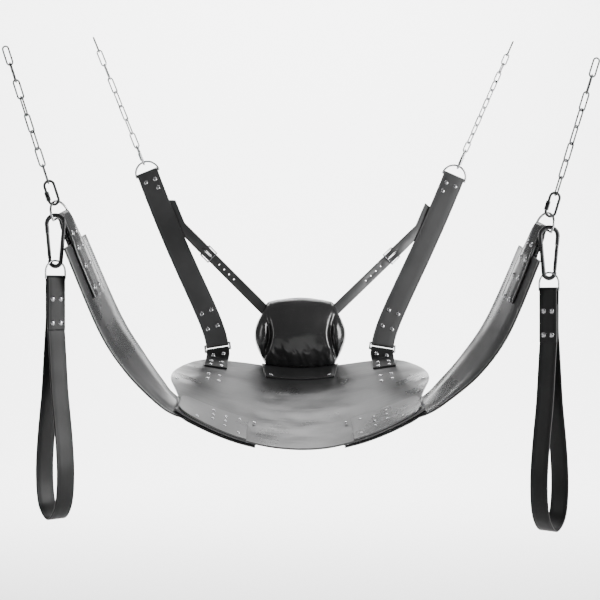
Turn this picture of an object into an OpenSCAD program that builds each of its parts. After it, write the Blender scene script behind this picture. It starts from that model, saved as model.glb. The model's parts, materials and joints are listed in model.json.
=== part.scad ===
/* [Suspension] */
// Height from the seat rings up to the hanging links
chain_drop = 258; // [200:1:320]
// Distance between the front and the rear pair of chains
suspension_depth = 620; // [520:1:760]
// Spacing of the front hanging links
front_span = 1071; // [1000:1:1160]
// Spacing of the rear hanging links
rear_span = 944; // [880:1:1040]
// How much lower the front right chain hangs than the left one
right_front_low = 22; // [0:1:30]
// How much lower the rear right chain hangs than the left one
right_rear_low = 9; // [0:1:20]

/* [Chain and quick links] */
// Wire diameter of the chain
chain_wire = 3.2; // [2.4:0.1:3.8]
// Outer width of a chain link
chain_link_w = 14; // [12:0.5:17]
// Links in each front chain and in the rear left chain
long_links = 7; // [5:2:9]
// Links in the rear right chain
short_links = 11; // [9:2:13]
// Wire diameter of a quick link
quick_wire = 5; // [4:0.1:6]
// Length of a quick link between its wire centres
quick_len = 45; // [38:0.5:54]
// Width of a quick link between its wire centres
quick_w = 18; // [15:0.5:22]
// Length of the screw nut on a quick link
nut_len = 17; // [12:0.5:20]
// Outer radius of the screw nut
nut_r = 4.6; // [3.8:0.1:5.5]

/* [Rings] */
// Wire diameter of the four large rings
ring_wire = 4.5; // [3.5:0.1:5.5]
// Half width of a large ring between its wire centres
ring_half = 27; // [27:0.5:33]
// Straight side of a front ring between its bar and its bow
front_ring_leg = 3; // [0.5:0.5:8]
// Straight side of a rear ring between its bar and its bow
rear_ring_leg = 1; // [0.5:0.5:6]
// Height of a loop ring between its two bars
loop_ring_h = 14; // [13:0.5:20]
// Wire diameter of a stirrup ring
stirrup_wire = 3.5; // [2.5:0.1:4]

/* [Carabiners] */
// Length of a carabiner between its wire centres
carabiner_len = 94; // [80:1:112]
// Wire diameter of a carabiner
carabiner_wire = 8; // [6.5:0.1:9]
// Radius of the wide top bow
carabiner_top_r = 16; // [14:0.5:19]
// Radius of the narrow bottom bow
carabiner_low_r = 10; // [9:0.5:12]
// Length of a gate from its pivot to its tip
gate_len = 46; // [38:0.5:50]

/* [Seat] */
// Depth of the seat from its front to its rear edge
seat_depth = 410; // [340:1:495]
// Half width of the seat at its front edge
seat_half = 236; // [225:1:250]
// Half width of the seat across its side lobes
lobe_half = 262; // [250:1:280]
// Thickness of the seat leather
seat_t = 4; // [3:0.1:5]
// How far the front edge sags at its middle
front_sag = 74; // [60:1:90]
// How much higher the rear edge lies than the front edge
seat_rise = 131; // [100:1:150]
// Width of the side arms and of the front patches
arm_w = 100; // [83:1:120]
// Thickness of the side arms
arm_t = 5; // [4:0.1:6]
// Thickness of the tabs that hold the front rings
arm_tab_t = 4.6; // [3.5:0.1:5]
// Thickness of patches, tabs and straps
strap_t = 3.5; // [2.6:0.1:4]

/* [Straps] */
// Width of the rear straps and the seat tabs
strap_w = 49; // [40:1:49]
// Width of an arm tab where it lies on the arm
arm_tab_w = 48; // [38:1:58]
// Width of an arm tab at its ring
arm_tab_ring_w = 29; // [24:1:30]
// Width of the headrest straps
head_strap_w = 24; // [18:1:28]
// Width of the stirrup straps
stirrup_w = 36; // [28:1:36]
// Height of a stirrup from its ring bar to the tread
stirrup_h = 442; // [370:1:530]
// Widest opening of a stirrup loop
stirrup_gap = 80; // [64:1:96]

/* [Headrest] */
// Width of the headrest pillow
pillow_w = 188; // [158:1:218]
// Height of the headrest pillow
pillow_h = 146; // [120:1:175]
// Thickness of the headrest pillow
pillow_t = 78; // [60:1:94]

/* [Rivets] */
// Radius of a rivet head
rivet_r = 5; // [4:0.1:6]
// Height of the domed rivet head
rivet_h = 2.6; // [1.8:0.1:3.2]
// Spacing of the paired rivets on the wide straps
rivet_pitch = 22.4; // [18:0.1:26]

/* [Hidden] */

// Clearance between neighbouring pieces, a wider one where pieces swing, and between layers of leather
gap = 0.3;
swing_gap = 0.5;
layer_gap = 0.5;
left = -1;
right = 1;
steel = [0.30, 0.31, 0.33];
nickel = [0.74, 0.75, 0.77];
leather = [0.07, 0.07, 0.075];
sheen = [0.13, 0.13, 0.14];

// ---- Vectors, smooth paths and closed skins ----
function unit(v) = v / norm(v);
function mirrored(v, side) = [side * v[0], v[1], v[2]];
function clamp(i, low, high) = max(low, min(high, i));
// A point on the smooth curve through a list, at a place counted in list steps
function along(list, t) =
    let (n = len(list) - 1, i = clamp(floor(t), 0, n - 1), f = t - i,
         a = list[max(i - 1, 0)], b = list[i], c = list[i + 1], d = list[min(i + 2, n)])
    0.5 * (2 * b + (c - a) * f + (2 * a - 5 * b + 4 * c - d) * f * f
        + (3 * b - 3 * c + d - a) * f * f * f);
function smooth(list, steps) =
    [for (k = [0 : (len(list) - 1) * steps]) along(list, k / steps)];
function tangent(path, i) =
    unit(path[min(i + 1, len(path) - 1)] - path[max(i - 1, 0)]);
function square_to(w, t) = unit(w - (w * t) * t);

// A closed strip: at each path point a width direction and a width
module ribbon(path, across, widths, t) {
    n = len(path);
    corners = [for (i = [0 : n - 1])
        let (d = tangent(path, i), w = square_to(across[i], d), up = cross(d, w), h = widths[i] / 2)
        each [path[i] - w * h - up * t / 2, path[i] + w * h - up * t / 2,
              path[i] + w * h + up * t / 2, path[i] - w * h + up * t / 2]];
    sides = [for (i = [0 : n - 2], k = [0 : 3])
        let (a = 4 * i + k, b = 4 * i + (k + 1) % 4, c = a + 4, d = b + 4)
        each k == 2 ? [[a, c, b], [c, d, b]] : [[a, d, b], [a, c, d]]];
    polyhedron(corners, concat(sides, [[0, 1, 2], [0, 2, 3]],
        [[4 * n - 4, 4 * n - 2, 4 * n - 3], [4 * n - 4, 4 * n - 1, 4 * n - 2]]));
}

// A closed skin between an upper and a lower grid of points
module skin(upper, lower) {
    rows = len(upper);
    cols = len(upper[0]);
    m = rows * cols;
    faces = [for (i = [0 : rows - 2], j = [0 : cols - 2])
        let (a = i * cols + j, b = a + 1, c = a + cols, d = c + 1)
        each [[a, b, d], [a, d, c], [a + m, d + m, b + m], [a + m, c + m, d + m]]];
    ring = concat([for (j = [0 : cols - 1]) j], [for (i = [1 : rows - 1]) i * cols + cols - 1],
        [for (j = [cols - 2 : -1 : 0]) (rows - 1) * cols + j], [for (i = [rows - 2 : -1 : 1]) i * cols]);
    walls = [for (k = [0 : len(ring) - 1])
        let (a = ring[k], b = ring[(k + 1) % len(ring)])
        each [[a, a + m, b], [b, a + m, b + m]]];
    polyhedron(concat([for (r = upper) each r], [for (r = lower) each r]), concat(faces, walls));
}

// Children are placed with their X axis along x and their Z axis along z
module placed(o, x, z) {
    y = cross(z, x);
    multmatrix([[x[0], y[0], z[0], o[0]], [x[1], y[1], z[1], o[1]],
                [x[2], y[2], z[2], o[2]], [0, 0, 0, 1]]) children();
}

// ---- Wire shapes, all in the XZ plane ----
module bow(r_bend, r_wire, from, to) {
    rotate([90, 0, 0]) rotate([0, 0, from])
        rotate_extrude(angle = to - from, $fn = 48) translate([r_bend, 0]) circle(r = r_wire, $fn = 24);
}
module rod(a, b, r) {
    v = b - a;
    translate(a) rotate([0, acos(v[2] / norm(v)), atan2(v[1], v[0])]) cylinder(h = norm(v), r = r, $fn = 24);
}
module chain_link(length, width, wire) {
    half = (length - width) / 2;
    for (s = [-1, 1]) rod([s * width / 2, 0, -half], [s * width / 2, 0, half], wire / 2);
    translate([0, 0, half]) bow(width / 2, wire / 2, 0, 180);
    translate([0, 0, -half]) bow(width / 2, wire / 2, 180, 360);
}
// A ring with a straight bar on the X axis and a bow above it
module bar_ring(half, leg, wire) {
    rod([-half, 0, 0], [half, 0, 0], wire / 2);
    for (s = [-1, 1]) {
        translate([s * half, 0, 0]) sphere(r = wire / 2, $fn = 24);
        rod([s * half, 0, 0], [s * half, 0, leg], wire / 2);
    }
    translate([0, 0, leg]) bow(half, wire / 2, 0, 180);
}
// A rivet with its domed head above the XY plane and its washer under the grip
module rivet(grip) {
    rotate_extrude($fn = 24) polygon([[0, -grip - 1], [rivet_r * 0.8, -grip - 1], [rivet_r * 0.8, -grip],
        [1.6, -grip], [1.6, 0], [rivet_r, 0], [rivet_r, rivet_h * 0.25], [rivet_r * 0.86, rivet_h * 0.62],
        [rivet_r * 0.55, rivet_h * 0.9], [0, rivet_h]]);
}
module rivet_at(p, normal, grip) {
    n = unit(normal);
    translate(p) rotate([0, acos(n[2]), atan2(n[1], n[0])]) rivet(grip);
}

// ---- Chains: each hangs from its pivot and holds a ring at its foot ----
front_y = -suspension_depth / 2;
rear_y = suspension_depth / 2;
link_play = 0.35;
ring_r = ring_wire / 2;
front_foot_half = 457;
rear_foot_half = 364;
// Pivot, foot, number of links, and whether the foot is in front
chains = [
    [[-front_span / 2, front_y, -105], [-front_foot_half + 4, front_y, -105 - chain_drop], long_links, true],
    [[front_span / 2 + 4, front_y, -105 - right_front_low],
     [front_foot_half + 4, front_y, -105 - right_front_low - chain_drop], long_links, true],
    [[-rear_span / 2 + 7, rear_y, 36], [-rear_foot_half + 2, rear_y, 36 - chain_drop], long_links, false],
    [[rear_span / 2 + 7, rear_y, 36 - right_rear_low],
     [rear_foot_half + 2, rear_y, 36 - right_rear_low - chain_drop], short_links, false]];
front_left = chains[0];
front_right = chains[1];
rear_left = chains[2];
rear_right = chains[3];

function run(c) = unit(c[0] - c[1]);
function sideways(c) = let (z = run(c)) [z[2], 0, -z[0]];
function length(c) = norm(c[0] - c[1]);
// Height of the quick link's lower wire above the foot, then of the last link's lower wire
function quick_base(c) = c[3] ? 0 : -(quick_wire / 2 + ring_r + swing_gap);
function link_base(c) = quick_base(c) + quick_len - (chain_wire + quick_wire) / 2 - link_play;
function pivot_rise(c) = c[3] ? 0 : chain_wire + link_play;
function pitch(c) = (length(c) - link_base(c) - pivot_rise(c)) / c[2];
// Rounded, so that the bends and the straight sides of a link meet exactly
function link_len(c) = round((pitch(c) + chain_wire + link_play) * 50) / 50;
link_w = chain_link_w - chain_wire;

// Neighbours cross at 75 degrees or more, and the chain's middle hangs turned by its full twist
chain_twist = 45;
function link_turn(c, k) = ((k % 2 == 0) == c[3] ? 90 : 0) + chain_twist * min(1, (k + 1) / 3, (c[2] - 1 - k) / 3);

module on_chain(c) { placed(c[1], sideways(c), run(c)) children(); }
module quick_turn(c) { rotate([0, 0, c[3] ? 0 : 90]) children(); }

module chain(c) {
    color(c[3] ? steel : nickel) on_chain(c) for (k = [0 : c[2] - 1])
        translate([0, 0, link_base(c) + k * pitch(c) + link_len(c) / 2])
            rotate([0, 0, link_turn(c, k)]) chain_link(link_len(c), link_w, chain_wire);
}
// The hanging link is the next one up, and stands still
module hang_link(c) {
    lower = length(c) - pivot_rise(c);
    on_chain(c) translate([0, 0, lower + hang_len / 2])
        rotate([0, 0, c[3] ? 0 : 90]) chain_link(hang_len, link_w, chain_wire);
}
hang_len = 36;
module hang_links() { color(steel) for (c = chains) hang_link(c); }

quick_half = (quick_len - quick_w) / 2;
nut_z = quick_len / 2 - 4.5;
nut_travel = 8;
module quick_link(c) {
    color(c[3] ? steel : nickel) on_chain(c) quick_turn(c) translate([0, 0, quick_base(c) + quick_len / 2])
        difference() {
            chain_link(quick_len, quick_w, quick_wire);
            translate([-quick_w / 2 - quick_wire, -quick_wire, nut_z - quick_len / 2 - 7.5])
                cube([2 * quick_wire, 2 * quick_wire, 6]);
        }
}
module link_nut(c) {
    color(c[3] ? steel : nickel) on_chain(c) quick_turn(c)
        translate([-quick_w / 2, 0, quick_base(c) + nut_z - nut_len / 2])
            difference() {
                intersection() {
                    cylinder(r = nut_r, h = nut_len, $fn = 6);
                    cylinder(r = nut_r * 0.95, h = nut_len, $fn = 32);
                }
                translate([0, 0, -1]) cylinder(r = quick_wire / 2 + gap, h = nut_len + 2, $fn = 32);
            }
}

// ---- Rings ----
// Direction of a front ring's bar, from its near end to its far end
front_bar = unit([0.36, 0.88, 0.31]);
function side_of(c) = c[1][0] < 0 ? left : right;
function ring_x(c) = c[3] ? mirrored(front_bar, -side_of(c)) : sideways(c);
function ring_z(c) = square_to(run(c), ring_x(c));
function ring_leg(c) = c[3] ? front_ring_leg : rear_ring_leg;
function ring_height(c) = ring_half + ring_leg(c);
// The bar's middle: the bow rests on the quick link, which it crosses at a slant
bow_play = 0.75;
function ring_bar(c) = c[1] + run(c) * (c[3] ? quick_wire / 2 + ring_r + bow_play : 0)
    - ring_z(c) * ring_height(c);
module large_ring(c) {
    color(nickel) placed(ring_bar(c), ring_x(c), ring_z(c))
        bar_ring(ring_half, ring_leg(c), ring_wire);
}

// ---- Seat surface: x across, v from the front edge (0) to the rear edge (1) ----
seat_y = front_y + 40;
front_z = -563 - chain_drop;
rear_lift = 24;
lift_span = 150;
function front_profile(x) = front_z + front_sag * pow(x / 232, 2);
function rear_profile(x) = front_z + seat_rise + rear_lift * (1 - exp(-pow(x / lift_span, 2)));
function seat_mid(x, v) = [x, seat_y + v * seat_depth, front_profile(x) * (1 - v) + rear_profile(x) * v];
function seat_along(x, v) = unit(seat_mid(x, v + 0.01) - seat_mid(x, v - 0.01));
function seat_across(x, v) = unit(seat_mid(x + 1, v) - seat_mid(x - 1, v));
function seat_normal(x, v) = unit(cross(seat_across(x, v), seat_along(x, v)));
function on_seat(x, v, off) = seat_mid(x, v) + off * seat_normal(x, v);
// A layer of leather that follows the seat: a grid of (x, v) places, and its lower and upper offset
module seat_layer(places, low, high) {
    skin([for (row = places) [for (p = row) on_seat(p[0], p[1], high)]],
         [for (row = places) [for (p = row) on_seat(p[0], p[1], low)]]);
}

seat_outline = smooth([[0, seat_half], [0.13, seat_half - 6], [0.3, seat_half + 8], [0.48, lobe_half],
    [0.66, lobe_half], [0.84, lobe_half - 16], [0.95, lobe_half - 38], [1, lobe_half - 62]], 3);
module seat_panel() {
    color(leather) seat_layer([for (row = seat_outline) [for (u = [14 : -1 : -14])
        [u / 14 * row[1], row[0]]]], -seat_t / 2, seat_t / 2);
}

belt_v = arm_w / seat_depth;
patch_in = 102;
patch_round = 22;
// Half depth of a patch at a distance from its rounded end
function patch_half(e) = 0.5 - (e < patch_round ? 0.2 * (1 - sqrt(1 - pow(1 - e / patch_round, 2))) : 0);
module front_patch(side) {
    outer = seat_half - 4;
    ends = [for (k = [0 : 6]) patch_round * (1 - cos(k * 15))];
    places = concat([for (e = ends) e],
        [for (k = [1 : 8]) patch_round + (outer - patch_in - patch_round) * k / 8]);
    grid = [for (e = places) [for (j = [-3 : 3])
        [side * (outer - e), belt_v * (0.51 + 2 * patch_half(e) * j / 6)]]];
    rows = side == right ? grid : [for (k = [len(grid) - 1 : -1 : 0]) grid[k]];
    color(sheen) seat_layer(rows, seat_t / 2 + layer_gap, seat_t / 2 + layer_gap + strap_t);
}

// ---- Arms: wide belts from the front rings down and under the seat's front corners ----
arm_gap = 3;
under = -(seat_t / 2 + arm_gap + arm_t / 2);
arm_end = 80;
// Places on the free part of each arm, counted from the ring's foot and the seat
arm_left = [[-418, 8, 190], [-359, 42, 41], [-314, 58, -35], [-266, 74, -95]];
arm_right = [[426, 8, 168], [374, 42, 36], [325, 58, -39], [270, 74, -95]];
arm_way = [[0.20, 0.90, 0.39], [0.275, 0.915, 0.294], [0.27, 0.92, 0.26], [0.12, 0.96, 0.25]];
arm_datum = [0, front_y, front_z + 200];
function arm_seat_x() = [for (k = [0 : 4]) seat_half - 10 - (seat_half - 10 - arm_end) * k / 4];
function arm_control(side) = concat(
    [for (p = side == left ? arm_left : arm_right) p + arm_datum],
    [for (x = arm_seat_x()) on_seat(side * x, belt_v * 0.51, under)]);
function arm_widths(side) = concat(
    [for (w = arm_way) mirrored(w, -side)],
    [for (x = arm_seat_x()) seat_along(side * x, belt_v * 0.51)]);
arm_steps = 6;
module arm_strap(side) {
    path = smooth(arm_control(side), arm_steps);
    color(leather) ribbon(path, smooth(arm_widths(side), arm_steps), [for (p = path) arm_w], arm_t);
}
function arm_at(side, t) = along(arm_control(side), t);
function arm_dir(side, t) = unit(along(arm_control(side), t + 0.02) - along(arm_control(side), t));
function arm_w_at(side, t) = square_to(along(arm_widths(side), t), arm_dir(side, t));
// Normal of the arm's inner face
function arm_in(side, t) = -side * cross(arm_dir(side, t), arm_w_at(side, t));

// ---- Arm tabs: folded over the front rings, one strand on each face of the arm ----
// Steps of the arm's path that a tab covers
tab_steps = 4;
function arm_leg(side) = norm(arm_control(side)[1] - arm_control(side)[0]);
tab_off = arm_t / 2 + layer_gap + arm_tab_t / 2;
tab_bar_off = ring_r + gap + arm_tab_t / 2;
bar_off = ring_r + gap + strap_t / 2;
tab_shift = ring_half - 1 - ring_r - arm_tab_ring_w / 2;
function tab_bar(c) = ring_bar(c) + ring_x(c) * tab_shift;
function tab_dir(c) = unit(arm_at(side_of(c), 0) - tab_bar(c));
function tab_in(c) = square_to(arm_in(side_of(c), 0), tab_dir(c));
// At its ring the tab is square to the bar
function fold_dir(c) = square_to(tab_dir(c), ring_x(c));
function fold_in(c) = -side_of(c) * cross(fold_dir(c), ring_x(c));
function tab_strand(c, sign) =
    let (s = side_of(c), o = tab_bar(c))
    concat([for (k = [tab_steps : -1 : 0]) arm_at(s, k / arm_steps) + arm_in(s, k / arm_steps) * sign * tab_off],
        [o + tab_in(c) * sign * (tab_bar_off + 0.3) + tab_dir(c) * 26,
         o + fold_in(c) * sign * tab_bar_off + fold_dir(c) * 9]);
function fold(o, n, d, off) = [for (a = [0 : 22.5 : 180]) o + off * (cos(a) * n - sin(a) * d)];
function back(list) = [for (k = [len(list) - 1 : -1 : 0]) list[k]];
module arm_tab(c) {
    s = side_of(c);
    path = concat(tab_strand(c, 1), fold(tab_bar(c), fold_in(c), fold_dir(c), tab_bar_off), back(tab_strand(c, -1)));
    w_ring = ring_x(c);
    half_w = concat([for (k = [tab_steps : -1 : 1]) arm_tab_w],
        [arm_tab_w - 7, arm_tab_ring_w + 4, arm_tab_ring_w]);
    half_a = concat([for (k = [tab_steps : -1 : 0]) arm_w_at(s, k / arm_steps)],
        [arm_w_at(s, 0) * 0.4 + w_ring * 0.6, w_ring]);
    ring_n = len(path) - 2 * len(half_w);
    ways = concat(half_a, [for (k = [1 : ring_n]) w_ring], back(half_a));
    wides = concat(half_w, [for (k = [1 : ring_n]) arm_tab_ring_w], back(half_w));
    color(sheen) ribbon(path, ways, wides, arm_tab_t);
}
// Places of the rivet rows along the arm, in millimetres below its top end
tab_rows = [19, 57, 95];
module arm_tab_rivets() {
    color(nickel) for (c = [front_left, front_right]) let (s = side_of(c)) {
        for (row = tab_rows, k = [-1, 1]) let (t = row / arm_leg(s))
            rivet_at(arm_at(s, t) + arm_in(s, t) * (tab_off + arm_tab_t / 2) + arm_w_at(s, t) * k * rivet_pitch / 2,
                arm_in(s, t), 2 * (tab_off + arm_tab_t / 2));
        top = (arm_at(s, 0) * 0.7 + tab_bar(c) * 0.3);
        for (k = [-1, 1])
            rivet_at(top + tab_in(c) * (tab_off + arm_tab_t / 2) + arm_w_at(s, 0) * k * rivet_pitch * 0.42,
                tab_in(c), 2 * (tab_off + arm_tab_t / 2));
    }
}

// ---- Front rivets and studs of the seat ----
// Places as (x, distance from the front edge)
patch_rivets = [[169, 40], [169, 62], [169, 84], [145, 30], [145, 52], [145, 74], [197, 16],
    [118, 84], [118, 18], [90, 86]];
patch_grip = strap_t + layer_gap + seat_t + arm_gap + arm_t;
module seat_front_rivets() {
    color(nickel) for (side = [left, right], p = patch_rivets) let (x = side * p[0], v = p[1] / seat_depth)
        rivet_at(on_seat(x, v, seat_t / 2 + layer_gap + strap_t), seat_normal(x, v), patch_grip);
}
stud_inset = 11;
stud_v = 0.5;
module seat_studs() {
    color(nickel) for (side = [left, right], x = [side * (lobe_half - stud_inset)])
        rivet_at(on_seat(x, stud_v, seat_t / 2), seat_normal(x, stud_v), seat_t);
}

// ---- Rear straps: folded over the rear rings above and the loop rings below ----
loop_x = 181;
loop_tilt = 9;
function loop_centre(side) = [side * loop_x, seat_y + seat_depth + 18, front_z + seat_rise + 46];
function loop_across(side) = [cos(loop_tilt), 0, -side * sin(loop_tilt)];
function loop_up(side) = let (c = side == left ? rear_left : rear_right)
    square_to(ring_bar(c) - loop_centre(side), loop_across(side));
module loop_ring(side) {
    half = strap_w / 2 + ring_r + 0.6;
    color(nickel) placed(loop_centre(side), loop_across(side), loop_up(side)) {
        for (z = [-1, 1]) rod([-half, 0, z * loop_ring_h / 2], [half, 0, z * loop_ring_h / 2], ring_r);
        for (x = [-1, 1]) rod([x * half, 0, -loop_ring_h / 2], [x * half, 0, loop_ring_h / 2], ring_r);
        for (x = [-1, 1], z = [-1, 1]) translate([x * half, 0, z * loop_ring_h / 2]) sphere(r = ring_r, $fn = 24);
    }
}
top_fold = 62;
low_fold = 92;
function rear_chain(side) = side == left ? rear_left : rear_right;
function strap_top(side) = ring_bar(rear_chain(side));
function strap_foot(side) = loop_centre(side) + loop_up(side) * loop_ring_h / 2;
function strap_total(side) = norm(strap_foot(side) - strap_top(side));
// The strap's middle line: straight from the rear ring, and bent square to the loop ring at its foot
function strap_mid(side, f) =
    let (a = strap_top(side), d = strap_foot(side), l = strap_total(side), g = 1 - f,
         b = a + square_to(d - a, sideways(rear_chain(side))) * l * 0.6, c = d + loop_up(side) * l * 0.14)
    a * g * g * g + b * 3 * g * g * f + c * 3 * g * f * f + d * f * f * f;
function strap_dir(side, f) = f > 0.999 ? -loop_up(side)
    : unit(strap_mid(side, min(f + 0.01, 1)) - strap_mid(side, max(f - 0.01, 0)));
function strap_across(side, f) =
    square_to(sideways(rear_chain(side)) * (1 - f) + loop_across(side) * f, strap_dir(side, f));
// Normal of the strap's front face
function strap_front(side, f) = cross(strap_dir(side, f), strap_across(side, f));
layer = strap_t + 0.3;
function strap_local(side, f, q) = strap_mid(side, f) + strap_front(side, f) * q;
// Share of the strap's way at a distance from its top, and from its foot
function from_top(side, s) = s / strap_total(side) * 0.556;
function from_foot(side, s) = 1 - from_way(s / strap_total(side));
function from_way(w) = w < 0.1 ? w * 2.1 : 0.21 + (w - 0.1) * 1.35;
strap_way = [0.06, 0.16, 0.28, 0.4, 0.52, 0.64, 0.76, 0.86, 0.95];
module rear_strap(side) {
    h = bar_off;
    top = [[top_fold, h - layer], [50, h - layer], [26, h - layer], [13, -h * 0.35], [6, -h * 0.92]];
    low = [[6, -h * 0.92], [13, -h * 0.35], [26, h - layer], [50, h - layer], [70, h - layer], [low_fold, h - layer]];
    path = concat([for (p = top) strap_local(side, from_top(side, p[0]), p[1])],
        back(fold(strap_top(side), strap_front(side, 0), strap_dir(side, 0), h)),
        [for (f = strap_way) strap_local(side, f, h)],
        back(fold(strap_foot(side), -strap_front(side, 1), -strap_dir(side, 1), h)),
        [for (p = low) strap_local(side, from_foot(side, p[0]), p[1])]);
    ways = concat([for (p = top) strap_across(side, from_top(side, p[0]))], [for (k = [0 : 8]) strap_across(side, 0)],
        [for (f = strap_way) strap_across(side, f)], [for (k = [0 : 8]) strap_across(side, 1)],
        [for (p = low) strap_across(side, from_foot(side, p[0]))]);
    color(leather) ribbon(path, ways, [for (p = path) strap_w], strap_t);
}
// Rivet rows: distance from the strap's top (1) or from its foot (0), and whether both sides have one
strap_rows = [[23, 1, true], [47, 1, false], [80, 0, true], [38, 0, true]];
module rear_strap_rivets() {
    color(nickel) for (side = [left, right], row = strap_rows, k = row[2] ? [-1, 1] : [-side])
        let (f = row[1] == 1 ? from_top(side, row[0]) : from_foot(side, row[0]))
            rivet_at(strap_local(side, f, bar_off + strap_t / 2) + strap_across(side, f) * k * rivet_pitch / 2,
                strap_front(side, f), layer + strap_t);
}

// ---- Seat tabs: folded over the loop rings, one strand above and one below the seat ----
function tab_foot(side) = loop_centre(side) - loop_up(side) * loop_ring_h / 2;
tab_top_v = [0.85, 0.90, 0.95, 1];
tab_low_v = [0.62, 0.70, 0.78, 0.86, 0.94, 1];
over = seat_t / 2 + layer_gap + strap_t / 2;
function tab_way(side) = square_to(on_seat(side * loop_x, 1, 0) - tab_foot(side), loop_across(side));
function tab_up(side) = cross(tab_way(side), loop_across(side));
module seat_tab(side) {
    o = tab_foot(side);
    w = loop_across(side);
    d = tab_way(side);
    n = tab_up(side);
    upper = [for (v = tab_top_v) on_seat(side * loop_x, v, over)];
    lower = [for (v = tab_low_v) on_seat(side * loop_x, v, -over)];
    path = concat(upper, [o + n * bar_off + d * 7], fold(o, n, d, bar_off),
        [o - n * bar_off + d * 7, on_seat(side * loop_x, 1.022, -over * 0.5)], back(lower));
    ways = concat([for (v = tab_top_v) seat_across(side * loop_x, v)], [for (k = [1 : 11]) w],
        [unit(w + seat_across(side * loop_x, 1))], back([for (v = tab_low_v) seat_across(side * loop_x, v)]));
    color(sheen) ribbon(path, ways, [for (p = path) strap_w], strap_t);
}
module seat_tab_rivets() {
    color(nickel) for (side = [left, right], k = [-1, 1]) {
        x = side * loop_x + k * rivet_pitch / 2;
        for (v = [0.875, 0.935]) rivet_at(on_seat(x, v, over + strap_t / 2), seat_normal(x, v), 2 * over + strap_t);
        for (v = [0.66, 0.74]) rivet_at(on_seat(x, v, seat_t / 2), seat_normal(x, v), seat_t / 2 + over + strap_t / 2);
        rivet_at(tab_foot(side) + tab_way(side) * 16 + tab_up(side) * (bar_off + strap_t / 2 + 1)
            + loop_across(side) * k * rivet_pitch / 2, tab_up(side), 2 * bar_off + strap_t + 2);
    }
}

// ---- Headrest ----
flap_half = 84;
flap_v = [0.83, 0.88, 0.93, 0.97, 1.0];
module headrest_flap() {
    color(leather) seat_layer([for (v = flap_v) [for (k = [6 : -1 : -6]) [k / 6 * flap_half * (0.88 + 0.12 *
        (v - 0.83) / 0.17), v]]], seat_t / 2 + layer_gap, seat_t / 2 + layer_gap + strap_t);
}
module headrest_rivets() {
    color(nickel) for (side = [left, right])
        rivet_at(on_seat(side * 62, 0.855, seat_t / 2 + layer_gap + strap_t), seat_normal(side * 62, 0.855),
            strap_t + layer_gap + seat_t);
}
pillow_lean = 8;
pillow_y = seat_y + seat_depth - 6;
pillow_z = front_z + seat_rise + seat_t / 2 + layer_gap + strap_t + 1.6;
pillow_crown = 16;
// Shape of the pillow over its height: fullness of its width and of its thickness
function pillow_wide(f) = 0.77 + 0.23 * sin(180 * pow(f, 0.9)) - 0.02 * f;
// The foot follows the seat's rear edge, and the top is crowned
function pillow_rise(f, x) = f * pillow_h + (1 - f) * rear_lift * (1 - exp(-pow(x / lift_span, 2)))
    - f * pillow_crown * pow(2 * x / pillow_w, 2);
function pillow_thick(f) = 0.30 + 0.70 * pow(sin(180 * clamp(f, 0.001, 0.999)), 0.55);
function squircle(a) = let (c = cos(a), s = sin(a))
    [sign(c) * pow(abs(c), 0.62), sign(s) * pow(abs(s), 0.62)];
module headrest_pillow() {
    rings = 14;
    around = 28;
    color(sheen) translate([0, pillow_y, pillow_z]) rotate([-pillow_lean, 0, 0]) {
        points = [for (i = [0 : rings], j = [0 : around - 1])
            let (f = i / rings, s = squircle(360 * j / around))
            let (x = s[0] * pillow_w / 2 * pillow_wide(f))
            [x, s[1] * pillow_t / 2 * pillow_thick(f), pillow_rise(f, x)]];
        n = len(points);
        sides = [for (i = [0 : rings - 1], j = [0 : around - 1])
            let (a = i * around + j, b = i * around + (j + 1) % around)
            each [[a, b + around, b], [a, a + around, b + around]]];
        polyhedron(concat(points, [[0, 0, 0], [0, 0, pillow_h]]), concat(sides,
            [for (j = [0 : around - 1]) [n, j, (j + 1) % around]],
            [for (j = [0 : around - 1]) let (a = rings * around) [n + 1, a + (j + 1) % around, a + j]]));
    }
}
// The pillow's top corner, where the strap is sewn in
function pillow_corner(side) = [side * (pillow_w / 2 - 17), pillow_y + 17, pillow_z + pillow_h - 26];

// ---- Headrest straps, buckles and prongs ----
buckle_wire = 3;
buckle_len = 26;
head_t = 2.5;
head_top_s = 92;
function head_f(side) = from_top(side, head_top_s);
function head_start(side) = strap_local(side, head_f(side), bar_off - strap_t / 2 - layer_gap * 1.6 - head_t / 2);
function head_dir(side) = unit(pillow_corner(side) - head_start(side));
buckle_at = 0.44;
function buckle_bar(side) = head_start(side) + (pillow_corner(side) - head_start(side)) * buckle_at;
function head_front(side) = square_to([0, -1, 0], head_dir(side));
function head_across(side) = cross(head_front(side), head_dir(side));
function head_local(side, d, n) = buckle_bar(side) + head_dir(side) * d + head_front(side) * n;
buckle_off = buckle_wire / 2 + gap + head_t / 2;
module headrest_strap(side) {
    start = head_start(side);
    flat = strap_dir(side, head_f(side));
    out = strap_across(side, head_f(side)) * -side;
    h = buckle_off;
    free = norm(buckle_bar(side) - start);
    path = concat([start - out * 14, start + out * 8, start + out * 26 + flat * 6 - strap_front(side, head_f(side)) * 3.5],
        [for (f = [0.45, 0.62, 0.8]) head_local(side, -free * (1 - f), -h - 0.2)],
        [head_local(side, -10, -h)], [for (a = [0 : 22.5 : 180])
            buckle_bar(side) + h * (-cos(a) * head_front(side) + sin(a) * head_dir(side))],
        [head_local(side, -8, h * 0.9), head_local(side, -18, h * 0.2), head_local(side, -34, -h + head_t + 0.2)]);
    n = len(path);
    ways = [for (i = [0 : n - 1]) i < 2 ? flat * -side : i == 2 ? flat * -side * 0.6 + head_across(side) * 0.4
        : head_across(side)];
    color(leather) difference() {
        ribbon(path, ways, [for (p = path) head_strap_w], head_t);
        placed(buckle_bar(side), head_across(side), head_dir(side)) translate([-1.6, -12, -4]) cube([3.2, 24, 14]);
    }
}
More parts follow.
